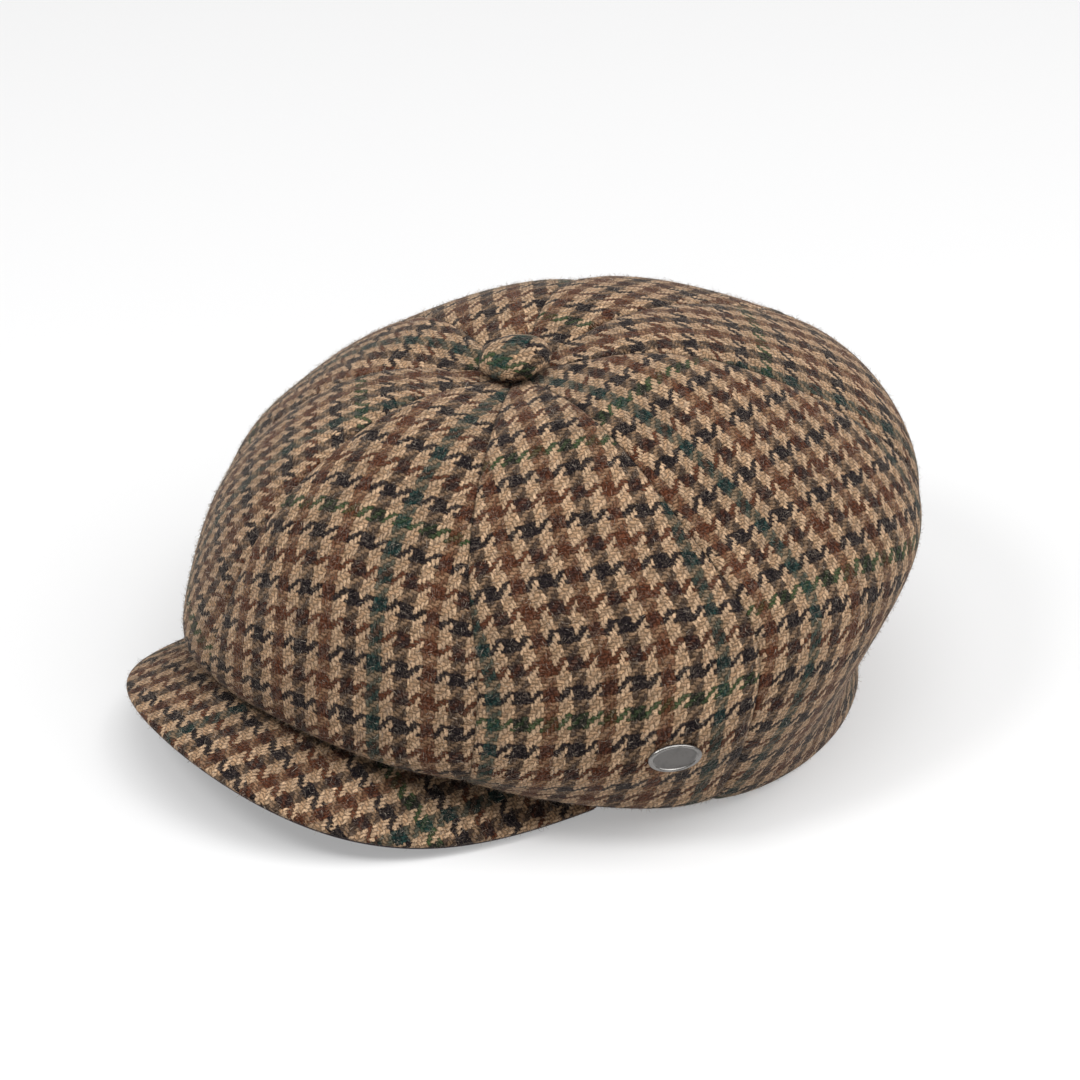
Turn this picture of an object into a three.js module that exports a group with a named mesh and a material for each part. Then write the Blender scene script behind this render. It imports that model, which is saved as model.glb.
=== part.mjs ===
// A baker boy cap: eight crown panels that meet under a covered button, a short curved peak
// with a dark underside, and a small plain pin on the wearer's left.
// Millimetres. +Z is up, the peak points to -Y and the wearer's left is +X.
// The cap rests on the surface by itself, on the rolled lower edge at its back.
import * as THREE from 'three';

const CLOTH_THICKNESS = 2.2;
const FITTING_GAP = 0.3;
const PANEL_PUFF = 1.8;
const BUTTON_DIP = 4.5;
const BUTTON_DIP_LEVEL = 0.1;

// The crown's rings, from just outside the button down to the turned-in hem.
// level runs from 0 at the button to 1 at the hem. The reaches are measured from the Z axis.
// The corner columns move a ring outwards and the rise columns move it up, halfway between the
// front or the back and the sides. The lean carries the front forwards on the wearer's right
// and back on the left.
const RING_COLUMNS = [
  'level', 'halfWidth', 'frontReach', 'backReach', 'zFront', 'zSide', 'zBack',
  'frontCorner', 'backCorner', 'frontRise', 'backRise', 'frontLean',
];
const RINGS = [
  [0.17, 47.5, 62.5, 34.5, 118, 122.5, 129.5, 1, 0.5, -2, 1.5, 0],
  [0.37, 90, 104, 87, 95, 102, 117.5, -2, -1, -2.5, 0, 0],
  [0.60, 126.3, 127.3, 126, 58.5, 68.5, 88.5, -5, 3, -3, -7.5, 3],
  [0.76, 132, 134, 116, 35, 39, 50.5, -9, -2, -7, 0, 12],
  [0.83, 124, 130.5, 115, 31.3, 22, 23.5, -8.5, -8.5, -4, 1, 14],
  [0.90, 112, 125.5, 111.5, 28.3, 2.5, -4, -7, 0, 0, 3, 15],
  [1.00, 87, 97, 94, 28, 10, 10, 0, 0, 0, 0, 0],
].map((row) => Object.fromEntries(RING_COLUMNS.map((column, i) => [column, row[i]])));
const BUTTON_POINT = { y: -15, z: 125.8 };

// Seam angles in degrees about Z, from the front centre towards the wearer's left.
const SEAM_ANGLES = [-5, 44, 88, 142, 183, 223, 270, 315];

// Rows and columns of the grid on each panel.
const TOP_LEVEL = 0.026;
const PANEL_ROWS = 26;
const PANEL_COLUMNS = 7;

// The peak: a stiff curved sheet, high along its middle and low at its sides, sewn under the
// front of the hem out to sewnAngle on each side. It sits turned a little on the crown.
const PEAK = {
  sewnAngle: 70, halfWidth: 92, middleY: 10.5, reach: 172, squareness: 0.45, edgeAngle: 85.3, backY: -38,
  ridgeZ: 29, ridgeSlope: 0.048, ridgeStartY: -97, sideDrop: 27.2, turnDegrees: -0.9, shiftX: 3,
  coverThickness: 2.2, undersideThickness: 1.4,
};
// The crown rests on the peak up to PEAK_MARGIN past its outline, fading out over PEAK_BLEND.
const PEAK_CLEARANCE = 1.0;
const PEAK_MARGIN = 11;
const PEAK_BLEND = 14;
const PEAK_COLUMNS = 44;
const PEAK_ROWS = 7;

const BUTTON = { radius: 12.6, height: 7.6, rim: 2.4, lift: 1.3, tiltDegrees: 9 };
const PIN = { angle: 75.4, level: 0.74, halfLength: 9.2, halfHeight: 5.5, thickness: 1.6, rim: 1.1 };

const PANEL_COLOR = 0x9a8469;
const UNDERSIDE_COLOR = 0x3a2a2a;
const METAL_COLOR = 0xb9b9b6;

const toRadians = THREE.MathUtils.degToRad;

// One point of a ring at an angle in radians from the front centre.
function ringPoint(ring, angle) {
  const c = Math.cos(angle);
  const s = Math.sin(angle);
  const between = Math.sin(2 * angle) ** 2;
  const corner = between * (c > 0 ? ring.frontCorner : ring.backCorner);
  const rise = between * (c > 0 ? ring.frontRise : ring.backRise);
  const middleY = (ring.backReach - ring.frontReach) / 2;
  const reach = (ring.backReach + ring.frontReach) / 2;
  const slant = (ring.zFront - ring.zBack) / 2;
  const saddle = (ring.zFront + ring.zBack) / 2 - ring.zSide;
  const lean = ring.frontLean * s * Math.max(c, 0) ** 10;
  return new THREE.Vector3(
    (ring.halfWidth + corner) * s,
    middleY - (reach + corner) * c + lean,
    ring.zSide + slant * c + saddle * c * c + rise,
  );
}

// A point of the smooth crown, with no puff: a cubic through the button and the rings.
function crownBase(angle, level) {
  const levels = [0, ...RINGS.map((ring) => ring.level)];
  const knots = [new THREE.Vector3(0, BUTTON_POINT.y, BUTTON_POINT.z)];
  RINGS.forEach((ring) => knots.push(ringPoint(ring, angle)));
  const slopes = knots.map((knot, i) => {
    if (i === 0) {
      const across = ringPoint(RINGS[0], angle + Math.PI);
      return knots[1].clone().sub(across).divideScalar(2 * levels[1]);
    }
    if (i === knots.length - 1) {
      return knot.clone().sub(knots[i - 1]).divideScalar(levels[i] - levels[i - 1]);
    }
    const before = levels[i] - levels[i - 1];
    const after = levels[i + 1] - levels[i];
    const slopeBefore = knot.clone().sub(knots[i - 1]).divideScalar(before);
    const slopeAfter = knots[i + 1].clone().sub(knot).divideScalar(after);
    return slopeBefore.multiplyScalar(after).addScaledVector(slopeAfter, before).divideScalar(before + after);
  });
  let i = 0;
  while (i < knots.length - 2 && level > levels[i + 1]) i += 1;
  const span = levels[i + 1] - levels[i];
  const s = (level - levels[i]) / span;
  const point = new THREE.Vector3();
  point.addScaledVector(knots[i], 2 * s ** 3 - 3 * s ** 2 + 1);
  point.addScaledVector(slopes[i], span * (s ** 3 - 2 * s ** 2 + s));
  point.addScaledVector(knots[i + 1], -2 * s ** 3 + 3 * s ** 2);
  point.addScaledVector(slopes[i + 1], span * (s ** 3 - s ** 2));
  point.z -= BUTTON_DIP * Math.exp(-((level / BUTTON_DIP_LEVEL) ** 2));
  return point;
}

// Outward unit normal of the smooth crown.
function crownNormal(angle, level) {
  const step = 1e-3;
  const lower = Math.min(level + step, 1);
  const along = crownBase(angle, lower).sub(crownBase(angle, lower - step));
  const around = crownBase(angle + step, level).sub(crownBase(angle - step, level));
  return along.cross(around).normalize();
}

function smoothStep(value) {
  const x = THREE.MathUtils.clamp(value, 0, 1);
  return x * x * (3 - 2 * x);
}

// How far a panel stands out: nothing at its two seams, the button and the hem.
function puffAt(share, level) {
  const across = (1 - (2 * share - 1) ** 2) ** 0.7;
  return PANEL_PUFF * across * smoothStep(level / 0.25) * smoothStep((1 - level) / 0.12);
}

// One grid column of a panel, its edge columns drawn in by half the seam gap.
function panelAngle(panel, share, level) {
  const start = toRadians(SEAM_ANGLES[panel]);
  const next = panel === SEAM_ANGLES.length - 1 ? SEAM_ANGLES[0] + 360 : SEAM_ANGLES[panel + 1];
  const end = toRadians(next);
  const width = crownBase(start, level).distanceTo(crownBase(end, level));
  const inset = FITTING_GAP / 2 / width;
  return THREE.MathUtils.lerp(start, end, inset + share * (1 - 2 * inset));
}

// A closed sheet between two grids of points, [row][column], front seen from outside.
function sheetGeometry(front, back) {
  const rows = front.length;
  const columns = front[0].length;
  const last = columns - 1;
  const positions = [];
  [front, back].forEach((grid) => grid.flat().forEach((p) => positions.push(p.x, p.y, p.z)));
  const index = [];
  const at = (side, row, column) => side * rows * columns + row * columns + column;
  const quad = (a, b, c, d) => index.push(a, b, c, a, c, d);
  for (let r = 0; r < rows - 1; r += 1) {
    for (let c = 0; c < columns - 1; c += 1) {
      quad(at(0, r, c), at(0, r + 1, c), at(0, r + 1, c + 1), at(0, r, c + 1));
      quad(at(1, r, c), at(1, r, c + 1), at(1, r + 1, c + 1), at(1, r + 1, c));
    }
  }
  for (let c = 0; c < columns - 1; c += 1) {
    quad(at(0, 0, c), at(0, 0, c + 1), at(1, 0, c + 1), at(1, 0, c));
    quad(at(0, rows - 1, c + 1), at(0, rows - 1, c), at(1, rows - 1, c), at(1, rows - 1, c + 1));
  }
  for (let r = 0; r < rows - 1; r += 1) {
    quad(at(0, r + 1, 0), at(0, r, 0), at(1, r, 0), at(1, r + 1, 0));
    quad(at(0, r + 1, last), at(1, r + 1, last), at(1, r, last), at(0, r, last));
  }
  const geometry = new THREE.BufferGeometry();
  geometry.setAttribute('position', new THREE.Float32BufferAttribute(positions, 3));
  geometry.setIndex(index);
  geometry.computeVertexNormals();
  return geometry;
}

// How far a point of the crown is raised so that it lies on the peak instead of in it.
function liftOverPeak(point) {
  const plan = toPeak(point.x, point.y);
  const across = THREE.MathUtils.clamp(plan.x / PEAK.halfWidth, -1, 1);
  const beside = Math.max(Math.abs(plan.x) - PEAK.halfWidth, 0);
  const behind = Math.max(plan.y - PEAK.backY, 0);
  const inFront = Math.max(peakEdgeY(across) - plan.y, 0);
  const away = Math.hypot(beside, behind, inFront) - PEAK_MARGIN;
  const need = peakHeight(plan) + PEAK_CLEARANCE - point.z;
  return Math.max(need, 0) * smoothStep(1 - away / PEAK_BLEND);
}

// A crown panel: cloth of even thickness, flattened where it rests on the surface.
function panelGeometry(panel) {
  const outer = [];
  const inner = [];
  for (let r = 0; r <= PANEL_ROWS; r += 1) {
    const level = THREE.MathUtils.lerp(TOP_LEVEL, 1, r / PANEL_ROWS);
    outer.push([]);
    inner.push([]);
    for (let c = 0; c <= PANEL_COLUMNS; c += 1) {
      const share = c / PANEL_COLUMNS;
      const angle = panelAngle(panel, share, level);
      const normal = crownNormal(angle, level);
      const point = crownBase(angle, level).addScaledVector(normal, puffAt(share, level));
      const inside = point.clone().addScaledVector(normal, -CLOTH_THICKNESS);
      const lift = liftOverPeak(point);
      point.z = Math.max(point.z + lift, 0);
      inside.z = Math.max(inside.z + lift, CLOTH_THICKNESS * 0.7);
      outer[r].push(point);
      inner[r].push(inside);
    }
  }
  return sheetGeometry(outer, inner);
}

// The peak's own plan coordinates of a point of the part, and back again.
function toPeak(x, y) {
  const turn = toRadians(PEAK.turnDegrees);
  const dx = x - PEAK.shiftX;
  return { x: dx * Math.cos(turn) + y * Math.sin(turn), y: y * Math.cos(turn) - dx * Math.sin(turn) };
}

function fromPeak(x, y) {
  const turn = toRadians(PEAK.turnDegrees);
  return {
    x: x * Math.cos(turn) - y * Math.sin(turn) + PEAK.shiftX,
    y: x * Math.sin(turn) + y * Math.cos(turn),
  };
}

// Height of the peak's upper surface over a point of its own plan.
function peakHeight(plan) {
  const ridge = PEAK.ridgeZ + PEAK.ridgeSlope * (plan.y - PEAK.ridgeStartY);
  return ridge - PEAK.sideDrop * (plan.x / PEAK.halfWidth) ** 2;
}

// The outer edge of the peak in plan: how far forward it reaches at a place across it.
function peakEdgeY(across) {
  return PEAK.middleY - PEAK.reach * Math.max(1 - across ** 2, 0) ** (PEAK.squareness / 2);
}

// The peak's upper surface. side runs from -1 to 1 across it, out from 0 at the hem to 1 at its edge.
function peakTop(side, out) {
  const hem = ringPoint(RINGS[RINGS.length - 1], toRadians(side * PEAK.sewnAngle));
  const across = Math.sin(toRadians(side * PEAK.edgeAngle));
  const edge = fromPeak(PEAK.halfWidth * across, peakEdgeY(across));
  const x = THREE.MathUtils.lerp(hem.x, edge.x, out);
  const y = THREE.MathUtils.lerp(hem.y, edge.y, out);
  return new THREE.Vector3(x, y, peakHeight(toPeak(x, y)));
}

// A layer of the peak, from one depth under its upper surface to another.
function peakLayer(fromDepth, toDepth) {
  const upper = [];
  const lower = [];
  for (let r = 0; r <= PEAK_ROWS; r += 1) {
    upper.push([]);
    lower.push([]);
    for (let c = 0; c <= PEAK_COLUMNS; c += 1) {
      const point = peakTop(2 * c / PEAK_COLUMNS - 1, r / PEAK_ROWS);
      upper[r].push(point.clone().setZ(point.z - fromDepth));
      lower[r].push(point.clone().setZ(point.z - toDepth));
    }
  }
  return sheetGeometry(upper, lower);
}

// A domed disc turned about Z: a flat foot, a rounded rim and a low crown.
function domeGeometry(radius, height, rim, segments) {
  const profile = [
    new THREE.Vector2(0, 0),
    new THREE.Vector2(radius - rim, 0),
    new THREE.Vector2(radius - rim * 0.3, rim * 0.35),
    new THREE.Vector2(radius, rim * 1.1),
    new THREE.Vector2(radius * 0.95, height * 0.6),
    new THREE.Vector2(radius * 0.75, height * 0.86),
    new THREE.Vector2(radius * 0.4, height * 0.98),
    new THREE.Vector2(0, height),
  ];
  const geometry = new THREE.LatheGeometry(profile, segments);
  geometry.rotateX(Math.PI / 2);
  return geometry;
}

function buttonGeometry() {
  const geometry = domeGeometry(BUTTON.radius, BUTTON.height, BUTTON.rim, 32);
  geometry.rotateX(toRadians(BUTTON.tiltDegrees));
  geometry.translate(0, BUTTON_POINT.y, BUTTON_POINT.z - BUTTON_DIP + BUTTON.lift);
  return geometry;
}

// A plain oval plate with a raised rim, its flat back towards the cloth.
function pinGeometry() {
  const profile = [
    new THREE.Vector2(0, 0),
    new THREE.Vector2(1, 0),
    new THREE.Vector2(1, PIN.thickness),
    new THREE.Vector2(0.86, PIN.thickness),
    new THREE.Vector2(0.78, PIN.rim * 0.7),
    new THREE.Vector2(0, PIN.rim),
  ];
  const geometry = new THREE.LatheGeometry(profile, 32);
  geometry.rotateX(Math.PI / 2);
  geometry.scale(PIN.halfLength, PIN.halfHeight, 1);
  const angle = toRadians(PIN.angle);
  const normal = crownNormal(angle, PIN.level);
  const share = (PIN.angle - SEAM_ANGLES[1]) / (SEAM_ANGLES[2] - SEAM_ANGLES[1]);
  const seat = crownBase(angle, PIN.level).addScaledVector(normal, puffAt(share, PIN.level) + FITTING_GAP);
  const level = new THREE.Vector3(-normal.y, normal.x, 0).normalize();
  const basis = new THREE.Matrix4().makeBasis(level, normal.clone().cross(level), normal);
  geometry.applyMatrix4(basis.setPosition(seat));
  return geometry;
}

function namedMesh(name, geometry, color, roughness, metalness) {
  const material = new THREE.MeshStandardMaterial({ color, roughness, metalness });
  const mesh = new THREE.Mesh(geometry, material);
  mesh.name = name;
  return mesh;
}

const part = new THREE.Group();
part.name = 'baker_boy_cap';
SEAM_ANGLES.forEach((_, panel) => {
  part.add(namedMesh(`crown_panel_${panel + 1}`, panelGeometry(panel), PANEL_COLOR, 0.95, 0));
});
const coverDepth = PEAK.coverThickness;
const undersideTop = coverDepth + FITTING_GAP;
part.add(namedMesh('peak_cover', peakLayer(0, coverDepth), PANEL_COLOR, 0.95, 0));
part.add(namedMesh(
  'peak_underside',
  peakLayer(undersideTop, undersideTop + PEAK.undersideThickness),
  UNDERSIDE_COLOR,
  0.9,
  0,
));
part.add(namedMesh('top_button', buttonGeometry(), PANEL_COLOR, 0.95, 0));
part.add(namedMesh('pin_badge', pinGeometry(), METAL_COLOR, 0.3, 1));

// The origin is on the surface, under the middle of the overall box.
const box = new THREE.Box3().setFromObject(part);
const middle = box.getCenter(new THREE.Vector3());
part.children.forEach((mesh) => mesh.geometry.translate(-middle.x, -middle.y, -box.min.z));

export default part;
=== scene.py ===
"""A tweed baker boy cap: eight crown panels under a covered button, a short curved peak and a small pin.

It is laid out as an add-on: one operator builds each group of pieces, and one sets the stage.
Shapes are worked out in millimetres, with the peak towards -Y and the wearer's left towards +X.
"""

import math

import bpy
import mathutils
import numpy as np
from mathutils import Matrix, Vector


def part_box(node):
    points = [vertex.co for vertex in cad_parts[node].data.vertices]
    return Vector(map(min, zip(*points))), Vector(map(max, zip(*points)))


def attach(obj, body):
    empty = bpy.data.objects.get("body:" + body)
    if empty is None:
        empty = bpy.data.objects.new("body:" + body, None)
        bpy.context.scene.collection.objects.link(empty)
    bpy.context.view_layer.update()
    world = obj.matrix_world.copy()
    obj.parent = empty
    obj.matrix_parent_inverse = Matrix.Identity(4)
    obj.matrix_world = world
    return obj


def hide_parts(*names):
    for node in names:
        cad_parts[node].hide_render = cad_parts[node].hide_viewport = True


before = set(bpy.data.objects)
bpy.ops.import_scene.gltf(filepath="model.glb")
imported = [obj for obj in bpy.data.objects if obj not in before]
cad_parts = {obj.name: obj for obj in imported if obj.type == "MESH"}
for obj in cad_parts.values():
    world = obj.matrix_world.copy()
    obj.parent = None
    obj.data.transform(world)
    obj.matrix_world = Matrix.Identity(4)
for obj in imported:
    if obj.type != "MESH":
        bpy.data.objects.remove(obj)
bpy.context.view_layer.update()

bl_info = {
    "name": "Baker Boy Cap",
    "version": (1, 0, 0),
    "blender": (4, 5, 0),
    "location": "View3D > Sidebar > Cap",
    "description": "Builds a panelled tweed cap with a covered button and a curved peak",
    "category": "Add Mesh",
}

MM = 0.001

# ---------------------------------------------------------------- the cap's pattern

# Rings of the crown, from just outside the button (level 0) down to the hem (level 1).
RING_COLUMNS = (
    "level", "half_width", "front", "back", "z_front", "z_side", "z_back",
    "front_corner", "back_corner", "front_rise", "back_rise", "front_lean",
)
RINGS = (
    (0.17, 47.5, 62.5, 34.5, 118, 122.5, 129.5, 1, 0.5, -2, 1.5, 0),
    (0.37, 90, 104, 87, 95, 102, 117.5, -2, -1, -2.5, 0, 0),
    (0.60, 126.3, 127.3, 126, 58.5, 68.5, 88.5, -5, 3, -3, -7.5, 3),
    (0.76, 132, 134, 116, 35, 39, 50.5, -9, -2, -7, 0, 12),
    (0.83, 124, 130.5, 115, 31.3, 22, 23.5, -8.5, -8.5, -4, 1, 14),
    (0.90, 112, 125.5, 111.5, 28.3, 2.5, -4, -7, 0, 0, 3, 15),
    (1.00, 87, 97, 94, 28, 10, 10, 0, 0, 0, 0, 0),
)
BUTTON_SEAT = (0.0, -15.0, 125.8)
BUTTON_DIP = 4.5
BUTTON_DIP_LEVEL = 0.1
TOP_LEVEL = 0.026
SEAM_ANGLES = (-5, 44, 88, 142, 183, 223, 270, 315)
# How strongly each seam shows, both in its turn and in the painted shade along its groove.
SEAM_SHOWS = (0.4, 1.0, 1.0, 0.8, 0.8, 0.8, 0.8, 0.4)

# Where each panel is cut from the length of cloth: along its weft and its warp, and turned by degrees.
CUTS = (
    (2.5, 17.5, 5),
    (49.0, 48.2, 0),
    (7.6, 54.5, -13),
    (22.8, 13.2, -8),
    (60.0, 71.0, 4),
    (31.0, 36.0, -3),
    (12.0, 88.0, 6),
    (65.3, 49.1, -7),
)
PEAK_CUT = (310.7, 400, 0)
BUTTON_CUT = (7.0, 0.5, 20)

PEAK = {
    "sewn_angle": 70, "half_width": 92, "middle_y": 10.5, "reach": 172, "squareness": 0.45,
    "edge_angle": 85.3, "back_y": -38, "ridge_z": 29, "ridge_slope": 0.048, "ridge_start_y": -97,
    "side_drop": 27.2, "turn_degrees": -0.9, "shift_x": 3,
}
PEAK_CLEARANCE = 1.0
PEAK_MARGIN = 11
PEAK_BLEND = 14
PEAK_COVER = {"top": 0.0, "bottom": 2.5, "swell": 0.5}
PEAK_UNDERSIDE = {"top": 2.65, "bottom": 4.0, "inset": 1.3}
PEAK_FACE_STEPS, PEAK_RIM_STEPS = 34, 9

# The button's solid has the plain radius and height; the covered button is made wider and higher.
BUTTON = {
    "radius": 12.6, "height": 7.6, "rim": 2.4, "wider": 0.2, "higher": 1.6, "lift": 1.3, "tilt_degrees": 9,
}
DOME_SHARE = 0.72

PIN = {
    "angle": 75.4, "level": 0.74, "half_length": 9.2, "half_height": 5.5, "thickness": 1.6, "lift": 0.35,
}
# The pin's half section from its middle over the rim to its back: radius and height as shares.
PIN_PROFILE = (
    (0.00, 0.74), (0.30, 0.72), (0.55, 0.66), (0.70, 0.60), (0.765, 0.60), (0.795, 0.70),
    (0.815, 0.86), (0.845, 0.97), (0.885, 1.00), (0.925, 0.98), (0.965, 0.88), (0.990, 0.70),
    (1.000, 0.45), (0.992, 0.18), (0.965, 0.04), (0.93, 0.00), (0.50, 0.00), (0.00, 0.00),
)

# Soft dents and swellings of the crown: panel, place across it (-1 to 1), level, sizes and depth.
DENT_COLUMNS = ("panel", "across", "level", "across_size", "level_size", "out_mm")
DENTS = (
    (2, -0.55, 0.50, 0.40, 0.07, -1.6),
    (2, 0.30, 0.60, 0.50, 0.08, 0.8),
    (1, 0.10, 0.45, 0.60, 0.10, 0.7),
    (1, -0.30, 0.70, 0.50, 0.06, -0.7),
    (0, 0.20, 0.50, 0.60, 0.10, 0.7),
    (0, -0.40, 0.72, 0.50, 0.06, -0.8),
    (3, 0.00, 0.45, 0.60, 0.10, 0.8),
    (3, 0.20, 0.72, 0.50, 0.07, -1.2),
    (4, 0.00, 0.60, 0.60, 0.08, -1.0),
    (5, -0.20, 0.50, 0.50, 0.10, 0.8),
    (5, 0.30, 0.74, 0.50, 0.06, -1.2),
    (6, 0.10, 0.50, 0.50, 0.10, 0.8),
    (7, 0.00, 0.60, 0.50, 0.10, -0.7),
)

# Stray fibres: spread of their lengths, their half widths and the height they keep above the floor.
FIBRE = {
    "length_shape": 3.0, "length_scale": 0.42, "shortest": 0.5, "longest": 3.4,
    "thinnest": 0.03, "thickest": 0.07, "clear_of_floor": 0.1,
}
FIBRE_POINTS = 7

# The weave: threads in a check, noise scales and reaches in threads, and shares between 0 and 1.
CHECK_THREADS = 4.0
SWAY_SCALE, SWAY_REACH = 0.16, 2.0
SLIP_SCALE, SLIP_REACH = 0.55, 1.2
FRAY_SCALE, FRAY_REACH = 1.6, 1.25
FUZZ_SCALE, FUZZ_REACH = 2.3, 9.0
FELT_ON_TOP, FELT_BELOW = 0.13, 0.47
WEFT_LEVEL = 0.85
HAIR_SHARE, HAIR_SHADE = 0.25, 0.6
HAIR_TURNS = ((17, 3.0), (74, 29.0), (128, 51.0))
# Share of the colour kept where the painted shade is fullest: in seam grooves, where the crown rests on the
# peak and under the button's rim.
PAINTED_SHADE_TONE = 0.45

YARNS = ("Light", "Weft Light", "Rust", "Night", "Warp Green", "Weft Green")
WHITE = (1.0, 1.0, 1.0, 1.0)
GREY_HAIR = (0.30, 0.29, 0.28, 1.0)
SHEEN_TINT = (0.95, 0.87, 0.80, 1.0)
BRIGHT_METAL = (0.24, 0.23, 0.22, 1.0)
MARKED_METAL = (0.12, 0.115, 0.11, 1.0)
DULL_METAL = (0.075, 0.07, 0.068, 1.0)

# Lamps round the cap: the power's name in the settings, azimuth, elevation, distance and size.
LAMPS = (
    ("Key", "key", 356.0, 52.0, 1.6, 0.5),
    ("Overhead", "overhead", 90.0, 80.0, 4.0, 4.0),
    ("Fill", "fill", 128.0, 48.0, 1.8, 1.6),
)
FLOOR_HALF_SIZE = 6.0
COTTON_RIBS = 2200.0

# Rows and columns of a panel's grid, finer for its cloth than for placing fibres on it.
PANEL_GRID, FIBRE_GRID = (170, 57), (95, 33)
PEAK_STATIONS, FIBRE_STATIONS = 230, 120
BUTTON_TURNS, BUTTON_STEPS, PIN_TURNS = 160, 56, 128

# How far an edge turns before it is shown sharp: on the panels, and on the firmer pieces.
SHARP_DEGREES, FIRM_DEGREES = 50.0, 60.0

# How the cloth stands out or turns in: heights and the lengths over which they fade or wave.
# The second width is that of the painted shade along a seam's groove.
SEAM_TURN_WIDTH, SEAM_SHADE_WIDTH = 1.0, 0.45
PUCKER = {"height": 0.55, "wave": 2.1, "slow_wave": 19.0, "inner": 1.6, "outer": 6.0}
UNEVEN = {"height": 0.45, "across": 17.0, "along": 15.0, "drift": 60.0}
BUTTON_SWELL = 0.6
QUIET_WIDTH = 12.0
# Painted shade where the crown rests on the peak fades out over this height above it, and is painted only
# past this level.
CREASE_HEIGHT, CREASE_LEVEL = 5.0, 0.7


# ---------------------------------------------------------------- shape functions

def smooth_step(value):
    """0 below 0, 1 above 1 and x*x*(3 - 2x) between."""
    x = np.clip(value, 0.0, 1.0)
    return x * x * (3.0 - 2.0 * x)


def ripple(x, seed):
    """A quiet uneven wave of about unit height: five sines with seeded lengths and starts."""
    rng = np.random.default_rng(seed)
    lengths = rng.uniform(0.55, 1.7, 5)
    starts = rng.uniform(0.0, 2.0 * math.pi, 5)
    wave = sum(np.sin(x * n + s) for n, s in zip(lengths, starts))
    return wave / 2.3


def ring_knots(angle):
    """The button's seat, then the point of each ring at an angle in radians from the front.

    x = (half_width + corner) sin a, y = middle - (reach + corner) cos a + lean sin a cos^10 a and
    z = z_side + slant cos a + saddle cos^2 a + rise, with corner and rise times sin^2 2a.
    """
    c, s = np.cos(angle), np.sin(angle)
    between = np.sin(2.0 * angle) ** 2
    knots = [np.stack([0.0 * c + axis for axis in BUTTON_SEAT], -1)]
    for row in RINGS:
        ring = dict(zip(RING_COLUMNS, row))
        corner = between * np.where(c > 0, ring["front_corner"], ring["back_corner"])
        rise = between * np.where(c > 0, ring["front_rise"], ring["back_rise"])
        lean = ring["front_lean"] * s * np.maximum(c, 0.0) ** 10
        middle = (ring["back"] - ring["front"]) / 2.0
        reach = (ring["back"] + ring["front"]) / 2.0
        slant = (ring["z_front"] - ring["z_back"]) / 2.0
        saddle = (ring["z_front"] + ring["z_back"]) / 2.0 - ring["z_side"]
        knots.append(np.stack([
            (ring["half_width"] + corner) * s,
            middle - (reach + corner) * c + lean,
            ring["z_side"] + slant * c + saddle * c * c + rise,
        ], -1))
    return np.array(knots)


def crown_curve(angle, level):
    """A point of the bare crown: a cubic through the button's seat and the rings, less the dip.

    The slope at a knot is the mean of the slopes before and after it, each weighted by the other's span.
    """
    angle, level = np.broadcast_arrays(np.asarray(angle, float), np.asarray(level, float))
    levels = np.array([0.0] + [row[0] for row in RINGS])
    knots = ring_knots(angle)
    spans = np.diff(levels)
    chords = np.array([(knots[k + 1] - knots[k]) / spans[k] for k in range(len(spans))])
    slopes = [(knots[1] - ring_knots(angle + math.pi)[1]) / (2.0 * levels[1])]
    for k in range(1, len(spans)):
        before, after = spans[k - 1], spans[k]
        slopes.append((chords[k - 1] * after + chords[k] * before) / (before + after))
    slopes.append(chords[-1])
    slopes = np.array(slopes)
    at = np.clip(np.searchsorted(levels, level, side="right") - 1, 0, len(spans) - 1)

    def pick(table, index):
        return np.take_along_axis(table, index[None, ..., None], 0)[0]

    span = spans[at][..., None]
    s = (level[..., None] - levels[at][..., None]) / span
    point = (
        pick(knots, at) * (2 * s ** 3 - 3 * s ** 2 + 1)
        + pick(slopes, at) * span * (s ** 3 - 2 * s ** 2 + s)
        + pick(knots, at + 1) * (3 * s ** 2 - 2 * s ** 3)
        + pick(slopes, at + 1) * span * (s ** 3 - s ** 2)
    )
    point[..., 2] -= BUTTON_DIP * np.exp(-((level / BUTTON_DIP_LEVEL) ** 2))
    return point


def crown_base(angle, level):
    """The bare crown eased along its levels: a quarter, a half and a quarter of three near points."""
    level = np.asarray(level, float)
    ease = np.minimum(0.022, np.minimum(level, 1.0 - level))
    return (
        0.25 * crown_curve(angle, level - ease)
        + 0.5 * crown_curve(angle, level)
        + 0.25 * crown_curve(angle, level + ease)
    )


def crown_normal(angle, level):
    """Outward unit normal of the bare crown, from short steps along and around it."""
    step = 1e-3
    lower = np.minimum(np.asarray(level, float) + step, 1.0)
    along = crown_base(angle, lower) - crown_base(angle, lower - 2.0 * step)
    around = crown_base(angle + step, level) - crown_base(angle - step, level)
    return unit(np.cross(along, around))


def puff(across, level, height):
    """How far a panel stands out: height (1 - 0.6 |across|^5), fading to 0 at the button and the hem."""
    swell = 1.0 - 0.6 * np.minimum(np.abs(across), 1.0) ** 5
    return height * swell * smooth_step(level / 0.25) * smooth_step((1.0 - level) / 0.12)


def turned(x, y, degrees):
    """Two coordinates turned by an angle: x cos t - y sin t and x sin t + y cos t."""
    c, s = math.cos(math.radians(degrees)), math.sin(math.radians(degrees))
    return x * c - y * s, x * s + y * c


def to_peak(x, y):
    """The peak's own plan coordinates of a point."""
    return turned(x - PEAK["shift_x"], y, -PEAK["turn_degrees"])


def from_peak(x, y):
    """The point of a place in the peak's own plan."""
    x, y = turned(x, y, PEAK["turn_degrees"])
    return x + PEAK["shift_x"], y


def peak_height(x, y):
    """Top of the peak over its own plan: a ridge that rises gently to the back, less a parabola across."""
    ridge = PEAK["ridge_z"] + PEAK["ridge_slope"] * (y - PEAK["ridge_start_y"])
    return ridge - PEAK["side_drop"] * (x / PEAK["half_width"]) ** 2


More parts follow.
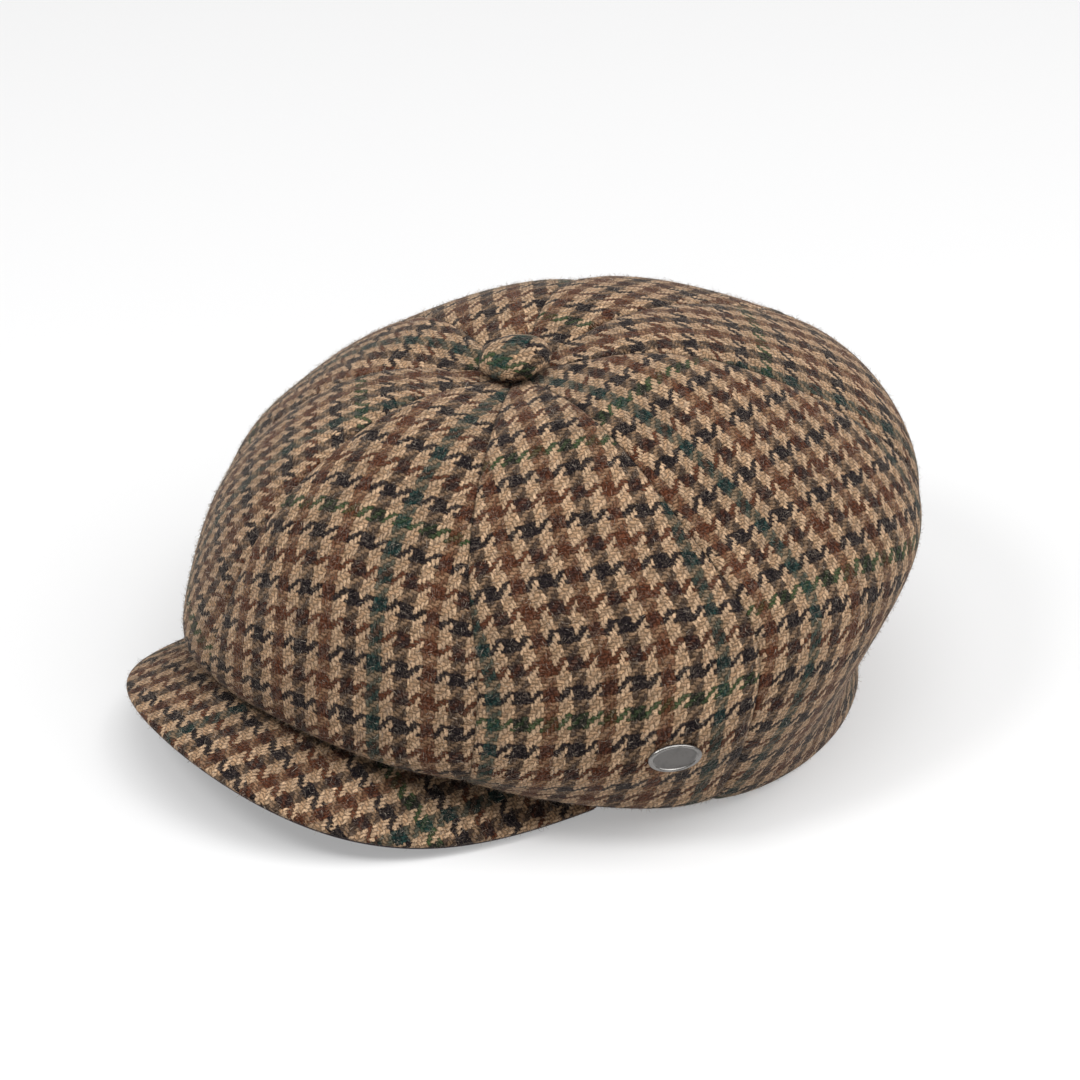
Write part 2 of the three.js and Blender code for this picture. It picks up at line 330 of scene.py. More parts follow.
def peak_edge_y(across):
    """Outer edge of the peak in its own plan: middle_y - reach (1 - across^2)^(squareness / 2)."""
    return PEAK["middle_y"] - PEAK["reach"] * np.maximum(1.0 - across ** 2, 0.0) ** (PEAK["squareness"] / 2)


def lift_over_peak(point):
    """How far a point of the crown is raised to lie on the peak, fading out past the peak's outline."""
    x, y = to_peak(point[..., 0], point[..., 1])
    across = np.clip(x / PEAK["half_width"], -1.0, 1.0)
    beside = np.maximum(np.abs(x) - PEAK["half_width"], 0.0)
    behind = np.maximum(y - PEAK["back_y"], 0.0)
    in_front = np.maximum(peak_edge_y(across) - y, 0.0)
    away = np.sqrt(beside ** 2 + behind ** 2 + in_front ** 2) - PEAK_MARGIN
    need = peak_height(x, y) + PEAK_CLEARANCE - point[..., 2]
    return np.maximum(need, 0.0) * smooth_step(1.0 - away / PEAK_BLEND)


def crease_shade_on_peak(point):
    """Painted shade in the crease: 1 where the crown lies on the peak, falling to 0 at CREASE_HEIGHT above
    it.
    """
    x, y = to_peak(point[..., 0], point[..., 1])
    over = (np.abs(x) < PEAK["half_width"]) & (y < PEAK["back_y"])
    above = point[..., 2] - peak_height(x, y) - PEAK_CLEARANCE
    return smooth_step(1.0 - above / CREASE_HEIGHT) * over


def arc_lengths(points, axis):
    """Running length along one axis of a grid of points, starting at 0."""
    steps = np.linalg.norm(np.diff(points, axis=axis), axis=-1)
    zero = np.zeros_like(np.take(steps, [0], axis=axis))
    return np.concatenate([zero, np.cumsum(steps, axis=axis)], axis=axis)


def flat_pattern(base):
    """A panel laid flat, as it was cut: u across and v down from the button.

    u is the length along a row from the panel's middle, and v = s - u^2 w' / 2w, where s is the
    length down the middle, w the half width there and w' its rate of change, as rings are on a cone.
    """
    middle = base.shape[1] // 2
    run = arc_lengths(base, 1)
    u = run - run[:, middle:middle + 1]
    s = arc_lengths(base, 0)[:, middle]
    s = s + np.linalg.norm(base[0, middle] - np.array(BUTTON_SEAT) + (0, 0, BUTTON_DIP))
    w = run[:, -1] / 2.0
    bend = np.gradient(w, s) / (2.0 * w)
    return u, s[:, None] - u ** 2 * bend[:, None], w


def laid_on_cloth(u, v, cut):
    """Place of a cut piece on the length of cloth, in metres: u and v turned, then moved to the cut."""
    along_weft, along_warp, degrees = cut
    u, v = turned(u, v, degrees)
    return np.stack([(u + along_weft) * MM, (v + along_warp) * MM], -1)


def origin_shift():
    """From the pattern's own millimetres to the frame: the button's solid is turned about a known seat."""
    low, high = (np.array(corner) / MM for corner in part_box("top_button"))
    radius, height, rim = BUTTON["radius"], BUTTON["height"], BUTTON["rim"]
    profile = np.array([
        (radius - rim, 0), (radius - rim * 0.3, rim * 0.35), (radius, rim * 1.1),
        (radius * 0.95, height * 0.6), (radius * 0.75, height * 0.86), (radius * 0.4, height * 0.98),
    ])
    r, z = profile.T
    y = np.concatenate([turned(side, z, BUTTON["tilt_degrees"])[0] for side in (r, -r)])
    centre_y = (y.min() + y.max()) / 2.0 + BUTTON_SEAT[1]
    return np.array([(low[0] + high[0]) / 2.0, (low[1] + high[1]) / 2.0 - centre_y, 0.0])


ORIGIN_SHIFT = origin_shift()


# ---------------------------------------------------------------- mesh helpers

def unit(vectors):
    """Vectors made one long."""
    return vectors / np.linalg.norm(vectors, axis=-1, keepdims=True)


def grid_numbers(rows, columns):
    """Numbers of a grid's vertices, row by row."""
    return np.arange(rows * columns).reshape(rows, columns)


def grid_corners(grid):
    """The four corners of each cell, anticlockwise when rows run down and columns run right."""
    return grid[:-1, :-1], grid[1:, :-1], grid[1:, 1:], grid[:-1, 1:]


def grid_quads(index):
    """Quads of a table of vertex numbers."""
    return np.stack(grid_corners(index), -1).reshape(-1, 4)


def add_piece(name, points, faces, uv, values, sharp_degrees):
    """A smooth mesh object at the origin from points in millimetres, with its cloth map and point values.

    Edges that turn more than sharp_degrees stay sharp, or none where it is 0.
    """
    mesh = bpy.data.meshes.new(name)
    mesh.from_pydata((points.reshape(-1, 3) + ORIGIN_SHIFT) * MM, [], faces)
    if uv is not None:
        corners = np.empty(len(mesh.loops), dtype=np.int32)
        mesh.loops.foreach_get("vertex_index", corners)
        layer = mesh.uv_layers.new(name="Cloth")
        layer.data.foreach_set("uv", uv.reshape(-1, 2)[corners].astype(np.float32).ravel())
    for key, numbers in values.items():
        attribute = mesh.attributes.new(key, "FLOAT", "POINT")
        attribute.data.foreach_set("value", numbers.astype(np.float32).ravel())
    mesh.polygons.foreach_set("use_smooth", np.ones(len(mesh.polygons), dtype=bool))
    mesh.update()
    if sharp_degrees:
        mesh.set_sharp_from_angle(angle=math.radians(sharp_degrees))
    mesh.validate()
    piece = bpy.data.objects.new(name, mesh)
    bpy.context.scene.collection.objects.link(piece)
    return piece


def sheet_faces(rows, columns):
    """Front, back and rim faces of a closed sheet whose back grid follows its front grid."""
    index, count = grid_numbers(rows, columns), rows * columns
    front = grid_quads(index)
    back = front[:, ::-1] + count
    loop = np.concatenate([index[:, 0], index[-1, 1:], index[-2::-1, -1], index[0, -2:0:-1]])
    ahead = np.roll(loop, -1)
    rim = np.stack([ahead, loop, loop + count, ahead + count], -1)
    return np.concatenate([front, back, rim]).tolist()


def tube_faces(rows, columns):
    """Faces of a closed profile carried along a path, with both ends filled by fans of quads."""
    index = grid_numbers(rows, columns)
    sides = grid_quads(np.concatenate([index, index[:, :1]], axis=1))
    half = columns // 2
    k = np.arange(half - 1)
    first, last = index[0], index[-1]
    end_a = np.stack([first[k], first[k + 1], first[columns - 2 - k], first[columns - 1 - k]], -1)
    end_b = np.stack([last[k + 1], last[k], last[columns - 1 - k], last[columns - 2 - k]], -1)
    return np.concatenate([sides, end_a, end_b]).tolist()


def lathe_faces(rows, columns):
    """Quads of a profile turned all the way round, and fans to a top and a foot point added at the end."""
    index = grid_numbers(rows, columns)
    ring = np.concatenate([index, index[:1]], axis=0)
    sides = np.roll(grid_quads(ring)[:, ::-1], 1, axis=1)
    top, foot = rows * columns, rows * columns + 1
    caps = np.concatenate([
        np.stack([ring[:-1, 0], ring[1:, 0], np.full(rows, top)], -1),
        np.stack([ring[1:, -1], ring[:-1, -1], np.full(rows, foot)], -1),
    ])
    return sides.tolist() + caps.tolist()


def finish_piece(piece, nodes, material):
    """Gives a piece its material and its body, and puts it in place of its solids, if any."""
    piece.data.materials.append(material)
    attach(piece, "root")
    if nodes:
        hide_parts(*nodes)


# ---------------------------------------------------------------- material helpers

class Wiring:
    """Adds nodes to a tree and joins them, so that a formula reads as one."""

    def __init__(self, tree):
        self.tree = tree

    def add(self, kind, **settings):
        node = self.tree.nodes.new(kind)
        for key, value in settings.items():
            setattr(node, key, value)
        return node

    def join(self, source, socket):
        if isinstance(source, bpy.types.NodeSocket):
            self.tree.links.new(source, socket)
        else:
            socket.default_value = source

    def fed(self, kind, sources, **settings):
        node = self.add(kind, **settings)
        for source, socket in zip(sources, node.inputs):
            self.join(source, socket)
        return node.outputs

    def math(self, operation, *sources):
        return self.fed("ShaderNodeMath", sources, operation=operation)[0]

    def times(self, first, second):
        return self.math("MULTIPLY", first, second)

    def plus(self, first, second):
        return self.math("ADD", first, second)

    def vector(self, operation, *sources):
        return self.fed("ShaderNodeVectorMath", sources, operation=operation)[0]

    def combine(self, x, y, z=0.0):
        return self.fed("ShaderNodeCombineXYZ", (x, y, z))[0]

    def scaled(self, colour, value):
        return self.vector("MULTIPLY", colour, self.combine(value, value, value))

    def split(self, source):
        return self.fed("ShaderNodeSeparateXYZ", (source,))

    def noise(self, source, scale, detail=2.0, roughness=0.5, distortion=0.0, coloured=False):
        node = self.add("ShaderNodeTexNoise", noise_dimensions="3D")
        self.join(source, node.inputs["Vector"])
        labels = ("Scale", "Detail", "Roughness", "Distortion")
        for label, value in zip(labels, (scale, detail, roughness, distortion)):
            node.inputs[label].default_value = value
        return node.outputs["Color" if coloured else "Fac"]

    def chance(self, number):
        node = self.add("ShaderNodeTexWhiteNoise", noise_dimensions="1D")
        self.join(number, node.inputs["W"])
        return node.outputs["Value"]

    def mix(self, share, first, second):
        node = self.add("ShaderNodeMix", data_type="RGBA", blend_type="MIX", clamp_factor=True)
        for source, socket in zip((share, first, second), (0, 6, 7)):
            self.join(source, node.inputs[socket])
        return node.outputs[2]

    def between(self, value, low, high, start=0.0, end=1.0, kind="SMOOTHSTEP"):
        sources = (value, low, high, start, end)
        return self.fed("ShaderNodeMapRange", sources, interpolation_type=kind, clamp=True)[0]

    def ramp(self, *sources):
        return self.between(*sources, kind="LINEAR")

    def attribute(self, name):
        return self.add("ShaderNodeAttribute", attribute_name=name).outputs["Fac"]

    def bump(self, height, shader, strength, distance):
        node = self.add("ShaderNodeBump")
        node.inputs["Strength"].default_value = strength
        node.inputs["Distance"].default_value = distance
        self.join(height, node.inputs["Height"])
        self.join(node.outputs[0], shader.inputs["Normal"])


def new_material(name, constants):
    """A material whose constants are set on its shader's own sockets, with its wiring and its shader."""
    material = bpy.data.materials.new(name)
    material.use_nodes = True
    shader = material.node_tree.nodes["Principled BSDF"]
    for label, value in constants.items():
        shader.inputs[label].default_value = value
    return material, Wiring(material.node_tree), shader


def new_group(name, inputs, outputs):
    """A shader node group with its sockets; inputs and outputs are names and kinds."""
    tree = bpy.data.node_groups.new(name, "ShaderNodeTree")
    for sockets, way in ((inputs, "INPUT"), (outputs, "OUTPUT")):
        for label, kind in sockets.items():
            tree.interface.new_socket(name=label, in_out=way, socket_type="NodeSocket" + kind)
    wiring = Wiring(tree)
    return tree, wiring, wiring.add("NodeGroupInput").outputs, wiring.add("NodeGroupOutput").inputs


def yarn_colour(w, thread, seed, colours, repeat):
    """Colour of a thread by its number: four light, four dark; the darks take turns, and some are green."""
    light, rust, night, green = colours
    group = w.math("FLOOR", w.math("DIVIDE", thread, CHECK_THREADS))
    dark = w.math("GREATER_THAN", w.math("FLOORED_MODULO", group, 2.0), 0.5)
    pair = w.math("FLOOR", w.math("DIVIDE", group, 2.0))
    night_turn = w.math("GREATER_THAN", w.math("FLOORED_MODULO", pair, 2.0), 0.5)
    green_turn = w.math("LESS_THAN", w.math("FLOORED_MODULO", pair, repeat), 0.5)
    dark_colour = w.mix(green_turn, w.mix(night_turn, rust, night), green)
    colour = w.mix(dark, light, dark_colour)
    tone = w.ramp(w.chance(w.plus(thread, seed)), 0.0, 1.0, 0.76, 1.20)
    return w.scaled(colour, tone)


def tweed_group():
    """Houndstooth tweed in a two-and-two twill, from the cloth map in metres.

    Thread numbers are floor(u / pitch) and floor(v / pitch). The warp shows where (i + j) mod 4 < 2,
    so each thread floats over two others, and a float is round across and low at its two ends.
    """
    inputs = {"Cloth": "Vector", "Pitch": "Float", "Warp Repeat": "Float", "Weft Repeat": "Float"}
    inputs.update({"Nap": "Float", **{label: "Color" for label in YARNS}})
    outputs = {"Color": "Color", "Height": "Float", "Nap": "Float"}
    tree, w, given, result = new_group("Tweed", inputs, outputs)
    cloth, pitch = given["Cloth"], given["Pitch"]
    threads = w.vector("DIVIDE", cloth, w.combine(pitch, pitch, 1.0))

    def moved(place, scale, reach, *detail):
        """The place moved by a noise of the thread numbers, up to half the reach each way."""
        noise = w.noise(threads, scale, *detail, coloured=True)
        move = w.vector("MULTIPLY", w.vector("SUBTRACT", noise, (0.5, 0.5, 0.5)), (reach, reach, 0.0))
        return w.vector("ADD", place, move)

    def woven(place):
        """The place's x and y, its warp and weft threads, whether the warp is on top, and its colour."""
        x, y, _ = w.split(place)
        warp, weft = w.math("FLOOR", x), w.math("FLOOR", y)
        turn = w.math("FLOORED_MODULO", w.plus(warp, weft), 4.0)
        warp_on_top = w.math("LESS_THAN", turn, 1.5)
        darks = (given["Rust"], given["Night"])
        warp_colour = yarn_colour(
            w, warp, 11.5, (given["Light"], *darks, given["Warp Green"]), given["Warp Repeat"])
        weft_colour = yarn_colour(
            w, weft, 83.5, (given["Weft Light"], *darks, given["Weft Green"]), given["Weft Repeat"])
        top = w.mix(warp_on_top, weft_colour, warp_colour)
        below = w.mix(warp_on_top, warp_colour, weft_colour)
        checks = w.math("FLOORED_MODULO", w.math("DIVIDE", warp, CHECK_THREADS), 2.0)
        dark_warp = w.math("GREATER_THAN", checks, 0.99)
        felt = w.math("MULTIPLY_ADD", warp_on_top, FELT_ON_TOP - FELT_BELOW, FELT_BELOW)
        return x, y, warp, weft, warp_on_top, w.mix(w.times(dark_warp, felt), top, below)

    swayed = moved(moved(threads, SWAY_SCALE, SWAY_REACH, 1.0), SLIP_SCALE, SLIP_REACH, 1.0)
    loose = moved(swayed, FRAY_SCALE, FRAY_REACH, 2.0, 0.6)
    x, y, warp, weft, warp_on_top, woven_colour = woven(loose)
    fuzzy_colour = woven(moved(swayed, FUZZ_SCALE, FUZZ_REACH, 2.0, 0.6))[-1]

    def round_of(value):
        """1 along the middle of a thread, falling to 0 at its sides."""
        side = w.math("MULTIPLY_ADD", w.math("FRACT", value), 2.0, -1.0)
        return w.math("SUBTRACT", 1.0, w.times(side, side))

    def fall_of(run):
        """1 in the middle of a float, falling to 0 where the thread goes under."""
        side = w.math("MULTIPLY_ADD", w.math("FRACT", w.times(run, 0.5)), 2.0, -1.0)
        return w.math("SUBTRACT", 1.0, w.math("POWER", w.math("ABSOLUTE", side), 3.0))

    def either(weft_value, warp_value):
        """The value of the thread that is on top."""
        node = w.add("ShaderNodeMix", data_type="FLOAT")
        for source, socket in zip((warp_on_top, weft_value, warp_value), (0, 2, 3)):
            w.join(source, node.inputs[socket])
        return node.outputs[0]

    warp_height = w.times(round_of(x), fall_of(w.plus(warp, y)))
    weft_height = w.times(round_of(y), fall_of(w.plus(weft, x)))
    height = either(w.times(weft_height, WEFT_LEVEL), warp_height)

    # Fibres run along each thread, at a slight twist.
    along_warp = w.noise(w.vector("MULTIPLY", loose, (2.9, 0.8, 0.0)), 1.0, 3.0, 0.65, 0.4)
    along_weft = w.noise(w.vector("MULTIPLY", loose, (0.8, 2.9, 0.0)), 1.0, 3.0, 0.65, 0.4)
    fibre = either(along_weft, along_warp)

    # Stray fibres lie over the weave in all directions.
    hairs = None
    for degrees, offset in HAIR_TURNS:
        rotate = w.add("ShaderNodeVectorRotate", rotation_type="Z_AXIS")
        w.join(w.vector("ADD", threads, (offset, offset * 1.7, 0.0)), rotate.inputs["Vector"])
        rotate.inputs["Angle"].default_value = math.radians(degrees)
        stretched = w.vector("MULTIPLY", rotate.outputs[0], (2.9, 0.36, 0.0))
        strand = w.between(w.noise(stretched, 1.0, 2.0, 0.55, 1.1), 0.59, 0.64)
        hairs = strand if hairs is None else w.math("MAXIMUM", hairs, strand)
    patches = w.noise(threads, 0.23, 2.0)
    hairs = w.times(hairs, w.between(patches, 0.35, 0.65, 0.35, 1.0))
    hairs = w.times(hairs, given["Nap"])

    # Wisps of the threads near by lie over each colour, fewer of them over the dark ones.
    wisps = w.noise(threads, 1.9, 2.0, 0.6)
    _, _, blue = w.split(woven_colour)
    over_darks = w.between(blue, 0.02, 0.10, 0.14, 1.0)
    wisps = w.times(w.between(wisps, 0.40, 0.64, 0.10, 0.75), over_darks)
    fuzzed = w.mix(wisps, woven_colour, fuzzy_colour)
    hair_colour = w.mix(0.5, given["Light"], GREY_HAIR)
    haired = w.mix(w.times(hairs, HAIR_SHARE), fuzzed, hair_colour)

    # Shade falls into the hollows between threads, along their fibres and in slow patches.
    fade = w.noise(threads, 0.045, 2.0)
    fibre_tone = w.ramp(fibre, 0.28, 0.72, 0.55, 1.36)
    shade = w.times(fibre_tone, w.ramp(fade, 0.3, 0.7, 0.92, 1.08))
    crevice = w.between(height, 0.04, 0.74, 0.38, 1.0)
    crevice = w.math("MAXIMUM", crevice, w.times(hairs, HAIR_SHADE))
    shade = w.times(shade, crevice)
    w.join(w.scaled(haired, shade), result["Color"])
    lifted = w.plus(w.times(height, 0.75), w.times(fibre, 0.30))
    w.join(w.plus(lifted, w.times(hairs, 0.35)), result["Height"])
    w.join(hairs, result["Nap"])
    return tree


def cloth_material(name, cloth, nap=1.0):
    """Tweed on a piece's cloth map, darkened by painted shade in the seams' grooves, where the crown rests on
    the peak and under the button's rim.
    """
    material, w, shader = new_material(name, {
        "Specular IOR Level": 0.06, "Sheen Weight": 0.22, "Sheen Roughness": 0.24, "Sheen Tint": SHEEN_TINT,
    })
    weave = w.add("ShaderNodeGroup", node_tree=bpy.data.node_groups.get("Tweed") or tweed_group())
    w.join(w.add("ShaderNodeUVMap", uv_map="Cloth").outputs[0], weave.inputs["Cloth"])
    weave.inputs["Pitch"].default_value = cloth.thread_pitch
    weave.inputs["Nap"].default_value = nap
    for label in (*YARNS, "Warp Repeat", "Weft Repeat"):
        weave.inputs[label].default_value = getattr(cloth, label.lower().replace(" ", "_"))
    # Painted shade: the colour darkens in the seams' grooves, where the crown rests on the peak and under the
    # button's rim.
    keep = w.ramp(w.attribute("turned_in"), 0.0, 1.0, 1.0, PAINTED_SHADE_TONE)
    w.join(w.scaled(weave.outputs["Color"], keep), shader.inputs["Base Color"])
    w.join(w.ramp(weave.outputs["Nap"], 0.0, 1.0, 0.86, 0.97), shader.inputs["Roughness"])
    w.bump(weave.outputs["Height"], shader, strength=0.9, distance=0.00035)
    return material


def underside_material(name, cloth):
    """Dark plain-woven cotton under the peak: fine ribs both ways with soft wear."""
    material, w, shader = new_material(name, {"Specular IOR Level": 0.25, "Sheen Weight": 0.15})
    cloth_map = w.add("ShaderNodeUVMap", uv_map="Cloth").outputs[0]
    place = w.vector("MULTIPLY", cloth_map, (COTTON_RIBS, COTTON_RIBS, 1.0))
    x, y, _ = w.split(place)
    rib = w.times(*(w.math("SINE", w.times(value, math.pi)) for value in (x, y)))
    grain = w.noise(place, 0.9, 3.0, 0.6)
    wear = w.noise(place, 0.02, 3.0)
    tone = w.plus(w.times(rib, 0.16), w.times(grain, 0.5))
    # The darker colour falls on the noisy grain and, as painted shade, in the hollows between the ribs.
    dark = w.mix(w.between(tone, 0.05, 0.55), cloth.underside_grain_and_shade, cloth.underside)
    worn = w.mix(w.between(wear, 0.4, 0.7, 0.0, 0.25), dark, cloth.underside_worn)
    w.join(worn, shader.inputs["Base Color"])
    w.join(w.ramp(grain, 0.2, 0.8, 0.78, 0.95), shader.inputs["Roughness"])
    w.bump(w.plus(rib, grain), shader, strength=0.6, distance=0.00012)
    return material


def pin_material(name):
    """Brushed pale metal: fine scratches along the pin, dulled in its field, with small handling marks."""
    material, w, shader = new_material(name, {"Metallic": 1.0})
    place = w.add("ShaderNodeTexCoord").outputs["Object"]
    brush = w.noise(w.vector("MULTIPLY", place, (900.0, 900.0, 9000.0)), 1.0, 3.0, 0.6)
    marks = w.noise(place, 420.0, 3.0, 0.6)
    field = w.attribute("field")
    metal = w.mix(w.between(marks, 0.45, 0.75, 0.0, 0.5), BRIGHT_METAL, MARKED_METAL)
    w.join(w.mix(w.times(field, 0.55), metal, DULL_METAL), shader.inputs["Base Color"])
    rough = w.ramp(brush, 0.3, 0.7, 0.20, 0.34)
    w.join(w.plus(rough, w.times(field, 0.12)), shader.inputs["Roughness"])
    w.bump(brush, shader, strength=0.25, distance=0.00005)
    return material


def fibre_material(name, cloth):
    """Stray wool fibres: each takes its tone, from the darkest through brown to the palest."""
    material, w, shader = new_material(name, {"Roughness": 0.7, "Specular IOR Level": 0.2})
    tone = w.attribute("tone")
    brown = w.mix(w.ramp(tone, 0.0, 0.6), cloth.fibre_dark, cloth.fibre_mid)
    pale = w.mix(w.ramp(tone, 0.5, 1.0), brown, cloth.fibre_light)
    w.join(pale, shader.inputs["Base Color"])
    return material


def floor_material(name, stage):
    """A pale matt floor that glows a little, with a breath of unevenness."""
    material, w, shader = new_material(name, {
        "Roughness": 0.9, "Specular IOR Level": 0.0,
        "Emission Color": WHITE, "Emission Strength": stage.floor_glow,
    })
    cloud = w.noise(w.add("ShaderNodeTexCoord").outputs["Object"], 3.0, 2.0)
    level = stage.floor_level
    cool = level * 0.995
    w.join(w.mix(cloud, (level, level, level, 1), (cool, cool, level, 1)), shader.inputs["Base Color"])
    return material


# ---------------------------------------------------------------- pieces

def panel_surface(panel, shape, rows, columns):
    """A crown panel as two grids of points, its flat pattern and a value for the painted shade on it.

    An outer point is the bare crown plus its normal times the puff, a swelling round the button, the
    turn at a seam, puckers beside it, dents and a slow unevenness, lifted where it lies on the peak.
    The inner grid lies one cloth thickness inside the puffed crown. The painted shade is highest in a
    seam's groove and where the crown rests on the peak.
    """
    x = np.linspace(-1.0, 1.0, columns)
    spread = np.sign(x) * (1.0 - (1.0 - np.abs(x)) ** 1.6)
    level, across = np.meshgrid(np.linspace(TOP_LEVEL, 1.0, rows), spread, indexing="ij")
    start = math.radians(SEAM_ANGLES[panel])
    following = SEAM_ANGLES[panel + 1] if panel + 1 < len(SEAM_ANGLES) else SEAM_ANGLES[0] + 360
    end = math.radians(following)
    width = np.linalg.norm(crown_base(start, level[:, :1]) - crown_base(end, level[:, :1]), axis=-1)
    reach = 1.0 - shape.seam_gap / MM / width
    angle = (start + end) / 2.0 + (end - start) / 2.0 * across * reach
    base = crown_base(angle, level)
    normal = crown_normal(angle, level)
    u, v, half_width = flat_pattern(base)
    from_seam = (1.0 - np.abs(across)) * half_width[:, None]
    side = np.where(across > 0, 1, 0)
    shows = np.where(across > 0, SEAM_SHOWS[(panel + 1) % len(SEAM_SHOWS)], SEAM_SHOWS[panel])

    swell = puff(across, level, shape.panel_puff / MM)
    round_button = BUTTON_SWELL * np.exp(-((level - 0.15) / 0.06) ** 2) * (1.0 - across ** 2)
    turn = -shape.seam_depth / MM * shows * np.exp(-(from_seam / SEAM_TURN_WIDTH) ** 1.2)
    pucker = np.zeros_like(level)
    for which in (0, 1):
        strength = 0.6 + 0.4 * ripple(v / PUCKER["slow_wave"], 7 * panel + which)
        wave = ripple(v / PUCKER["wave"], 40 + 10 * panel + which) * strength
        near = np.exp(-from_seam / PUCKER["outer"]) * (1.0 - np.exp(-from_seam / PUCKER["inner"]))
        pucker += np.where(side == which, PUCKER["height"] * wave * near, 0.0)
    drift = 3.0 * ripple(v / UNEVEN["drift"], panel)
    slow = UNEVEN["height"] * ripple(u / UNEVEN["across"] + drift, 200 + panel)
    slow = slow * ripple(v / UNEVEN["along"], 300 + panel)
    dents = np.zeros_like(level)
    for row in DENTS:
        dent = dict(zip(DENT_COLUMNS, row))
        if dent["panel"] == panel:
            off = ((across - dent["across"]) / dent["across_size"]) ** 2
            off = off + ((level - dent["level"]) / dent["level_size"]) ** 2
            dents += dent["out_mm"] * np.exp(-off)
    quiet = smooth_step(from_seam / QUIET_WIDTH) * smooth_step((1.0 - level) / 0.1)
    pucker *= smooth_step((1.0 - level) / 0.05)
    stand = swell + round_button + turn + pucker + (slow + dents) * quiet

    thickness = shape.cloth_thickness / MM
    outer = base + normal * stand[..., None]
    inner = base + normal * (swell - thickness)[..., None]
    lift = lift_over_peak(base + normal * swell[..., None])
    outer[..., 2] = np.maximum(outer[..., 2] + lift, 0.0)
    inner[..., 2] = np.maximum(inner[..., 2] + lift, thickness * 0.6)
    # Painted shade: a dark line down each seam's groove and a dark crease where the crown rests on the peak,
    # past CREASE_LEVEL.
    seam_shade_line = shows * np.exp(-(from_seam / SEAM_SHADE_WIDTH) ** 1.5)
    turned_in = np.maximum(seam_shade_line, crease_shade_on_peak(outer) * (level > CREASE_LEVEL))
    return outer, inner, u, v, turned_in


def make_panel(panel, shape, material):
    """One crown panel, built as the gore of cloth that it was cut from."""
    outer, inner, u, v, turned_in = panel_surface(panel, shape, *PANEL_GRID)
    uv = laid_on_cloth(u, v, CUTS[panel])
    piece = add_piece(
        f"tweed_panel_{panel + 1}",
        np.stack([outer, inner]),
        sheet_faces(*u.shape),
        np.stack([uv, uv]),
        {"turned_in": np.stack([turned_in, turned_in])},
        SHARP_DEGREES,
    )
    finish_piece(piece, [f"crown_panel_{panel + 1}"], material)


def peak_rim(side, inset):
    """A point of the peak's edge in plan, drawn in by inset, and the outward direction there."""
    across = np.sin(np.radians(side * PEAK["edge_angle"]))
    step = 1e-3
    ahead = np.sin(np.radians((side + step) * PEAK["edge_angle"]))
    x0, y0 = from_peak(PEAK["half_width"] * across, peak_edge_y(across))
    x1, y1 = from_peak(PEAK["half_width"] * ahead, peak_edge_y(ahead))
    out = unit(np.stack([y1 - y0, x0 - x1], -1))
    return np.stack([x0, y0], -1) - out * inset, out


def peak_layer(stations, top, bottom, inset=0.0, swell=0.0):
    """A layer of the peak between two depths, its outer edge a half round, and its flat pattern.

    Each station's profile runs from the hem out to the rim, round the rim and back under to the hem.
    The upper face swells a little behind the rim. The flat width of a row is the arc length of the
    peak's parabola, x / 2 sqrt(1 + (kx)^2) + asinh(kx) / 2k.
    """
    radius = (bottom - top) / 2.0
    s = np.linspace(-1.0, 1.0, stations)
    side = s * (1.0 + 0.12 * (1.0 - s ** 2))
    hem_angle = np.radians(side * PEAK["sewn_angle"])
    hem = ring_knots(hem_angle)[-1][:, :2]
    rim, out = peak_rim(side, inset + radius)
    t = np.linspace(0.0, 1.0, PEAK_FACE_STEPS)
    arc = np.linspace(0.0, math.pi, PEAK_RIM_STEPS + 2)[1:-1]
    run = np.concatenate([t, np.ones(len(arc)), t[::-1]])
    turn = np.concatenate([np.zeros(len(t)), arc, np.full(len(t), math.pi)])
    flat = hem[:, None] * (1.0 - run[None, :, None]) + rim[:, None] * run[None, :, None]
    x, y = to_peak(flat[..., 0], flat[..., 1])
    middle = peak_height(x, y) - (top + bottom) / 2.0
    depth = np.cos(turn)[None, :] * radius
    plan = flat + out[:, None] * (np.sin(turn) * radius)[None, :, None]
    length = np.linalg.norm(rim - hem, axis=-1)[:, None]
    from_rim = length * (1.0 - run[None, :])
    swelling = swell * (1.0 - np.exp(-from_rim / 5.0)) * (turn[None, :] < 0.1)
    swelling = swelling * (1.0 + 0.5 * ripple(side * 9.0, 71)[:, None] * ripple(run * 5.0, 72)[None, :])
    z = middle + depth + swelling
    k = 2.0 * PEAK["side_drop"] / PEAK["half_width"] ** 2
    u = x / 2.0 * np.sqrt(1.0 + (k * x) ** 2) + np.arcsinh(k * x) / (2.0 * k)
    u = u + out[:, None, 0] * turn[None, :] * radius
    v = y + out[:, None, 1] * turn[None, :] * radius
    return np.stack([plan[..., 0], plan[..., 1], z], -1), u, v


def make_peak(cover_cloth, underside_cloth):
    """The peak's tweed cover, wrapped round its rim, and the dark cloth under it.
    """
    for name, node, slot, material, layer, cut in (
        ("tweed_peak", "peak_cover", "peak_tweed", cover_cloth, PEAK_COVER, PEAK_CUT),
        ("dark_peak_underside", "peak_underside", "dark_cloth", underside_cloth, PEAK_UNDERSIDE, (0, 0, 0)),
    ):
        points, u, v = peak_layer(PEAK_STATIONS, **layer)
        uv = laid_on_cloth(u, v, cut)
        faces = tube_faces(*u.shape)
        piece = add_piece(name, points, faces, uv, {"turned_in": np.zeros_like(u)}, FIRM_DEGREES)
        finish_piece(piece, [node], material)
        upper = slice(0, u.shape[1] // 2)


def turning_grid(turns, along):
    """The angle and the place along the profile at each point of a turned surface."""
    angles = np.linspace(0.0, 2.0 * math.pi, turns, endpoint=False)
    return np.meshgrid(angles, along, indexing="ij")


def turned_shell(x, y, z, top):
    """Points of a turned surface, then the two that close it: on its axis at the top and at the foot."""
    return np.concatenate([np.stack([x, y, z], -1).reshape(-1, 3), [(0.0, 0.0, top), (0.0, 0.0, 0.0)]])


